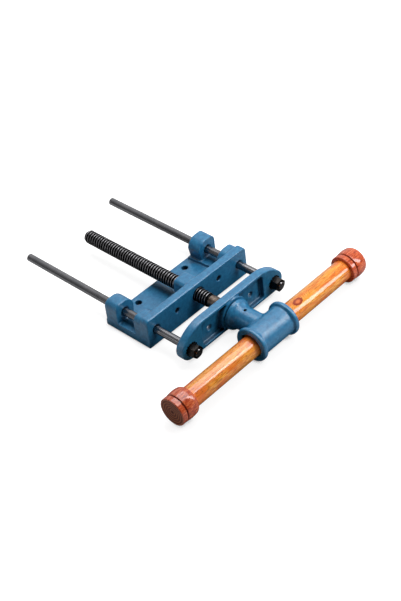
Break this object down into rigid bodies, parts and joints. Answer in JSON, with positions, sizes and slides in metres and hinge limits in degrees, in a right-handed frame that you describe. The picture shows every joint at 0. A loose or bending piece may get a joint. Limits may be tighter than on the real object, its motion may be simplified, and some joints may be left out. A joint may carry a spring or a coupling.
{
  "type": "woodworking vise",
  "caption": "Front woodworking vise with a cast body on a bench plate, guide rods, a lead screw, a bow-topped moving jaw and a sliding wooden handle.",
  "frame": {"origin": "on the underside of the bench plate, in the plane of the fixed jaw's face, midway between the guide rods", "axes": "+X across the jaws, to the right as seen from the handle; +Y along the guide rods, from the handle back under the bench; +Z from the bench plate up through the jaws"},
  "size_m": [0.518, 0.573, 0.077],
  "materials": {
    "blue_enamel": "semi-gloss enamel over cast iron",
    "dark_steel": "dark oxide, satin",
    "black_steel": "black oxide, semi-gloss",
    "screw_steel": "dark oxide, worn bright on the thread crests",
    "bare_steel": "bare turned steel",
    "varnished_wood": "glossy orange-brown varnish",
    "red_brown_wood": "glossy red-brown stain"
  },
  "bodies": {
    "base": {"fixed_body": "blue_enamel"},
    "jaw": {"moving_jaw": "blue_enamel", "left_guide_rod": "dark_steel", "right_guide_rod": "dark_steel", "rod_nuts": "black_steel", "rod_lock_washers": "black_steel"},
    "screw": {"lead_screw": "screw_steel", "keeper_collar": "bare_steel", "keeper_pin": "bare_steel", "thrust_washer": "black_steel", "handle_hub": "blue_enamel", "hub_pin": "black_steel"},
    "handle": {"handle_bar": "varnished_wood", "left_knob": "red_brown_wood", "right_knob": "red_brown_wood"}
  },
  "joints": [
    {"name": "jaw_slide", "type": "slide", "parent": "base", "child": "jaw", "axis": [0, 1, 0], "range_m": [-0.24447, 0.03492]},
    {"name": "screw_turn", "type": "hinge", "parent": "jaw", "child": "screw", "pos_m": [0, -0.093, 0.0385], "axis": [0, 1, 0], "range_deg": [-13865, 1985]},
    {"name": "handle_slide", "type": "slide", "parent": "screw", "child": "handle", "axis": [1, 0, 0], "range_m": [-0.169, 0.163]}
  ],
  "couplings": [
    {"joint": "screw_turn", "follows": "jaw_slide", "rad_per_m": 989.48}
  ]
}
